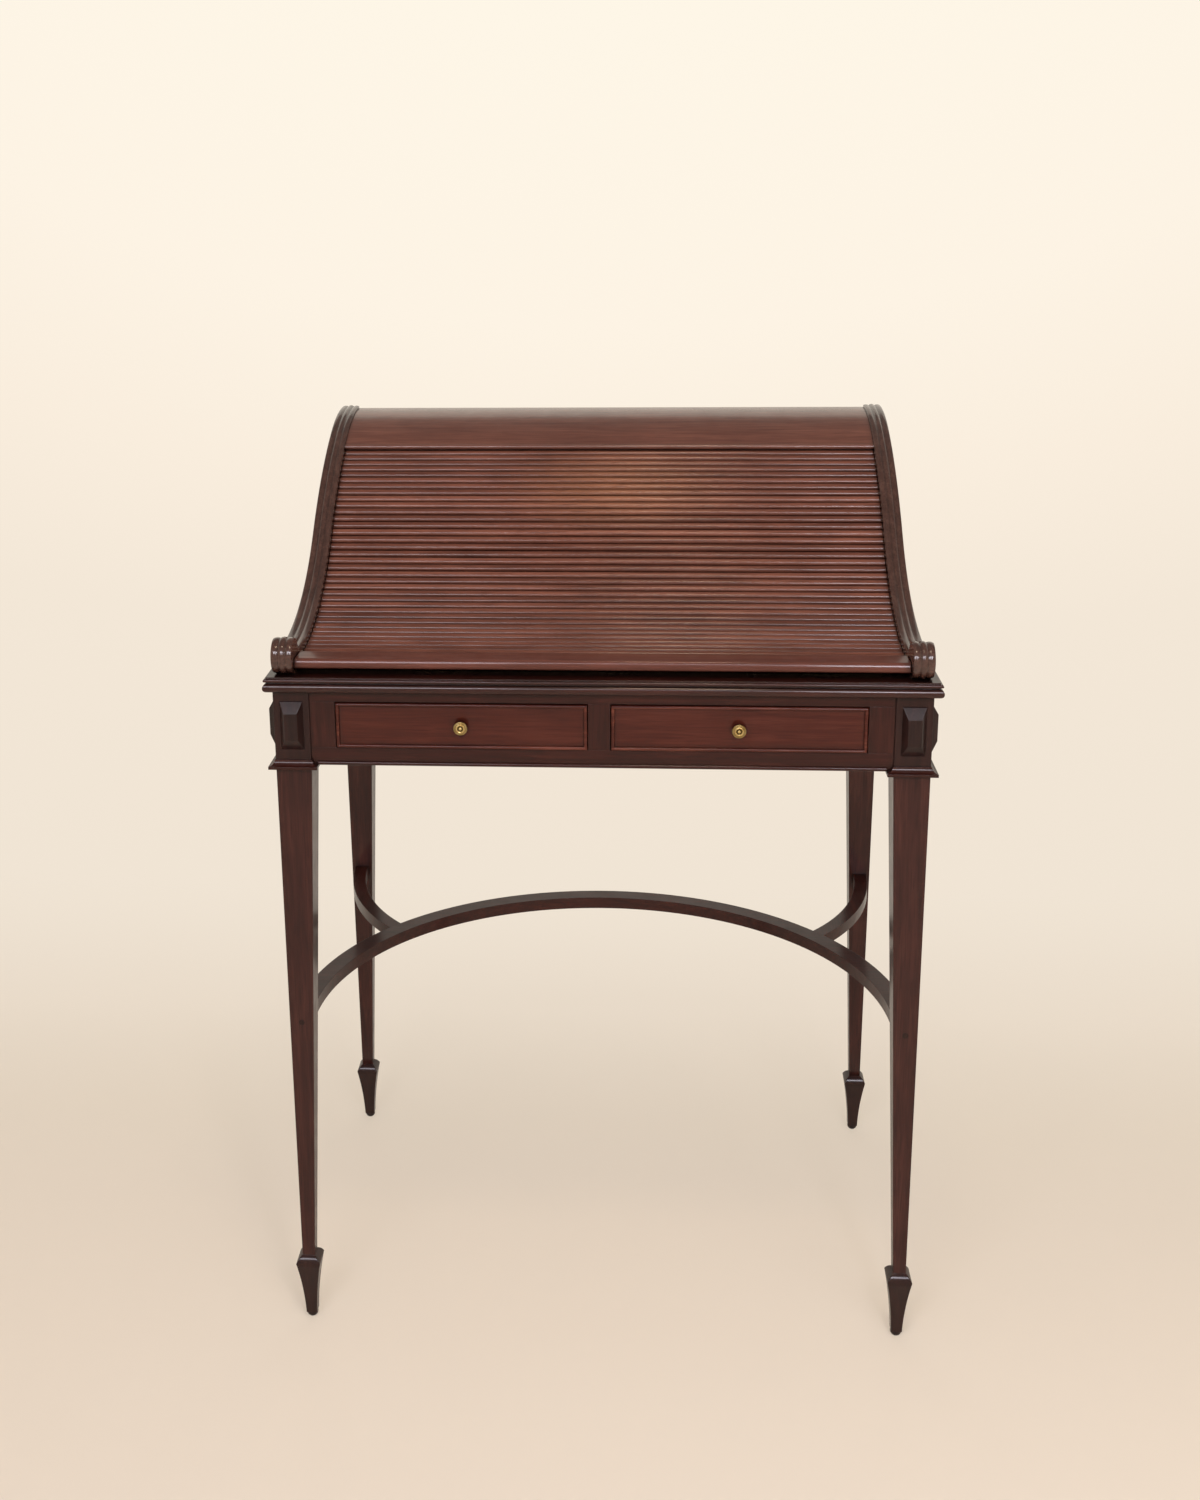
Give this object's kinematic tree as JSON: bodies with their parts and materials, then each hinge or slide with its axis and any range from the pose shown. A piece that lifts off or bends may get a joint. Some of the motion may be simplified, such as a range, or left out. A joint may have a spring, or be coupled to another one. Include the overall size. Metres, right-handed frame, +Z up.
{
  "type": "tambour writing desk",
  "caption": "Roll-top writing desk with S-shaped reeded gables, a slatted tambour, frieze drawers with turned knobs, and tapered legs joined by a curved hoop stretcher.",
  "frame": {"origin": "on the floor, at the middle of the plan of the desktop board", "axes": "+X to the right seen from the front, +Y from the front to the back, +Z up"},
  "size_m": [0.68, 0.455, 0.9691],
  "materials": {
    "dark_mahogany": "dark red-brown mahogany, french polished",
    "tambour_mahogany": "red-brown mahogany slats, polished",
    "inner_mahogany": null,
    "drawer_oak": null,
    "plug_wood": "paler wooden screw plugs",
    "brass": "turned and lacquered brass",
    "leather": null
  },
  "bodies": {
    "carcass": {"apron_beads": "dark_mahogany", "back_apron": "dark_mahogany", "back_panel": "inner_mahogany", "desktop": "dark_mahogany", "drawer_guides": "drawer_oak", "drawer_kickers": "drawer_oak", "drawer_muntin": "dark_mahogany", "drawer_runners": "drawer_oak", "false_back": "inner_mahogany", "fascia_bead": "tambour_mahogany", "foot_glides": "brass", "front_bottom_rail": "dark_mahogany", "front_stiles": "dark_mahogany", "front_top_rail": "dark_mahogany", "gable_left": "dark_mahogany", "gable_right": "dark_mahogany", "leg_back_left": "dark_mahogany", "leg_back_right": "dark_mahogany", "leg_bosses": "dark_mahogany", "leg_collars": "dark_mahogany", "leg_front_left": "dark_mahogany", "leg_front_right": "dark_mahogany", "pigeonhole_dividers": "inner_mahogany", "pigeonhole_shelf": "inner_mahogany", "side_apron_left": "dark_mahogany", "side_apron_right": "dark_mahogany", "stretcher_hoop": "dark_mahogany", "stretcher_plugs": "plug_wood", "stretcher_stay_left": "dark_mahogany", "stretcher_stay_right": "dark_mahogany", "top_fascia": "tambour_mahogany", "writing_leather": "leather"},
    "drawer_left": {"drawer_left_back": "drawer_oak", "drawer_left_bottom": "drawer_oak", "drawer_left_cockbead": "dark_mahogany", "drawer_left_front": "dark_mahogany", "drawer_left_knob": "brass", "drawer_left_sides": "drawer_oak"},
    "drawer_right": {"drawer_right_back": "drawer_oak", "drawer_right_bottom": "drawer_oak", "drawer_right_cockbead": "dark_mahogany", "drawer_right_front": "dark_mahogany", "drawer_right_knob": "brass", "drawer_right_sides": "drawer_oak"},
    "tambour_lead": {"tambour_lead_rail": "tambour_mahogany"},
    "tambour_01": {"tambour_strip_01": "tambour_mahogany"},
    "tambour_02": {"tambour_strip_02": "tambour_mahogany"},
    "tambour_03": {"tambour_strip_03": "tambour_mahogany"},
    "tambour_04": {"tambour_strip_04": "tambour_mahogany"},
    "tambour_05": {"tambour_strip_05": "tambour_mahogany"},
    "tambour_06": {"tambour_strip_06": "tambour_mahogany"},
    "tambour_07": {"tambour_strip_07": "tambour_mahogany"},
    "tambour_08": {"tambour_strip_08": "tambour_mahogany"},
    "tambour_09": {"tambour_strip_09": "tambour_mahogany"},
    "tambour_10": {"tambour_strip_10": "tambour_mahogany"},
    "tambour_11": {"tambour_strip_11": "tambour_mahogany"},
    "tambour_12": {"tambour_strip_12": "tambour_mahogany"},
    "tambour_13": {"tambour_strip_13": "tambour_mahogany"}
  },
  "joints": [
    {"name": "drawer_left_slide", "type": "slide", "parent": "carcass", "child": "drawer_left", "axis": [0, -1, 0], "range_m": [0, 0.25]},
    {"name": "drawer_right_slide", "type": "slide", "parent": "carcass", "child": "drawer_right", "axis": [0, -1, 0], "range_m": [0, 0.25]},
    {"name": "tambour_lead_turn", "type": "hinge", "parent": "carcass", "child": "tambour_lead", "pos_m": [0, -0.21543, 1.11737], "axis": [1, 0, 0], "range_deg": [0, 42.15], "deforming": ["tambour_lead_rail"]},
    {"name": "tambour_01_turn", "type": "hinge", "parent": "carcass", "child": "tambour_01", "pos_m": [0, -0.24284, 1.17295], "axis": [1, 0, 0], "range_deg": [0, 35.91], "deforming": ["tambour_strip_01"]},
    {"name": "tambour_02_turn", "type": "hinge", "parent": "carcass", "child": "tambour_02", "pos_m": [0, -0.32175, 1.3096], "axis": [1, 0, 0], "range_deg": [0, 26.03], "deforming": ["tambour_strip_02"]},
    {"name": "tambour_03_turn", "type": "hinge", "parent": "carcass", "child": "tambour_03", "pos_m": [0, -0.51245, 1.60474], "axis": [1, 0, 0], "range_deg": [0, 16.11], "deforming": ["tambour_strip_03"]},
    {"name": "tambour_04_turn", "type": "hinge", "parent": "carcass", "child": "tambour_04", "pos_m": [0, -1.35003, 2.81743], "axis": [1, 0, 0], "range_deg": [0, 6.2], "deforming": ["tambour_strip_04"]},
    {"name": "tambour_05_turn", "type": "hinge", "parent": "carcass", "child": "tambour_05", "pos_m": [0, 1.58232, -1.3201], "axis": [1, 0, 0], "range_deg": [-5.53, 0], "deforming": ["tambour_strip_05"]},
    {"name": "tambour_06_turn", "type": "hinge", "parent": "carcass", "child": "tambour_06", "pos_m": [0, 0.31916, 0.50548], "axis": [1, 0, 0], "range_deg": [-31.7, 0], "deforming": ["tambour_strip_06"]},
    {"name": "tambour_07_turn", "type": "hinge", "parent": "carcass", "child": "tambour_07", "pos_m": [0, 0.15388, 0.77425], "axis": [1, 0, 0], "range_deg": [-87.89, 0], "deforming": ["tambour_strip_07"]},
    {"name": "tambour_08_turn", "type": "hinge", "parent": "carcass", "child": "tambour_08", "pos_m": [0, 0.12537, 0.83768], "axis": [1, 0, 0], "range_deg": [-132.12, 0], "deforming": ["tambour_strip_08"]},
    {"name": "tambour_09_turn", "type": "hinge", "parent": "carcass", "child": "tambour_09", "pos_m": [0, 0.1251, 0.83793], "axis": [1, 0, 0], "range_deg": [-132.26, 0], "deforming": ["tambour_strip_09"]},
    {"name": "tambour_10_turn", "type": "hinge", "parent": "carcass", "child": "tambour_10", "pos_m": [0, 0.125, 0.8345], "axis": [1, 0, 0], "range_deg": [-128.49, 0], "deforming": ["tambour_strip_10"]},
    {"name": "tambour_11_turn", "type": "hinge", "parent": "carcass", "child": "tambour_11", "pos_m": [0, 0.12395, 0.83143], "axis": [1, 0, 0], "range_deg": [-124.72, 0], "deforming": ["tambour_strip_11"]},
    {"name": "tambour_12_turn", "type": "hinge", "parent": "carcass", "child": "tambour_12", "pos_m": [0, 0.12189, 0.82875], "axis": [1, 0, 0], "range_deg": [-120.95, 0], "deforming": ["tambour_strip_12"]},
    {"name": "tambour_13_turn", "type": "hinge", "parent": "carcass", "child": "tambour_13", "pos_m": [0, 0.11879, 0.82652], "axis": [1, 0, 0], "range_deg": [-117.18, 0], "deforming": ["tambour_strip_13"]}
  ],
  "couplings": [
    {"joint": "tambour_01_turn", "follows": "tambour_lead_turn", "ratio": 0.85173},
    {"joint": "tambour_02_turn", "follows": "tambour_lead_turn", "ratio": 0.6173},
    {"joint": "tambour_03_turn", "follows": "tambour_lead_turn", "ratio": 0.38208},
    {"joint": "tambour_04_turn", "follows": "tambour_lead_turn", "ratio": 0.14686},
    {"joint": "tambour_05_turn", "follows": "tambour_lead_turn", "ratio": -0.13106},
    {"joint": "tambour_06_turn", "follows": "tambour_lead_turn", "ratio": -0.75185},
    {"joint": "tambour_07_turn", "follows": "tambour_lead_turn", "ratio": -2.085},
    {"joint": "tambour_08_turn", "follows": "tambour_lead_turn", "ratio": -3.1343},
    {"joint": "tambour_09_turn", "follows": "tambour_lead_turn", "ratio": -3.1376},
    {"joint": "tambour_10_turn", "follows": "tambour_lead_turn", "ratio": -3.0482},
    {"joint": "tambour_11_turn", "follows": "tambour_lead_turn", "ratio": -2.9587},
    {"joint": "tambour_12_turn", "follows": "tambour_lead_turn", "ratio": -2.8693},
    {"joint": "tambour_13_turn", "follows": "tambour_lead_turn", "ratio": -2.7798}
  ]
}
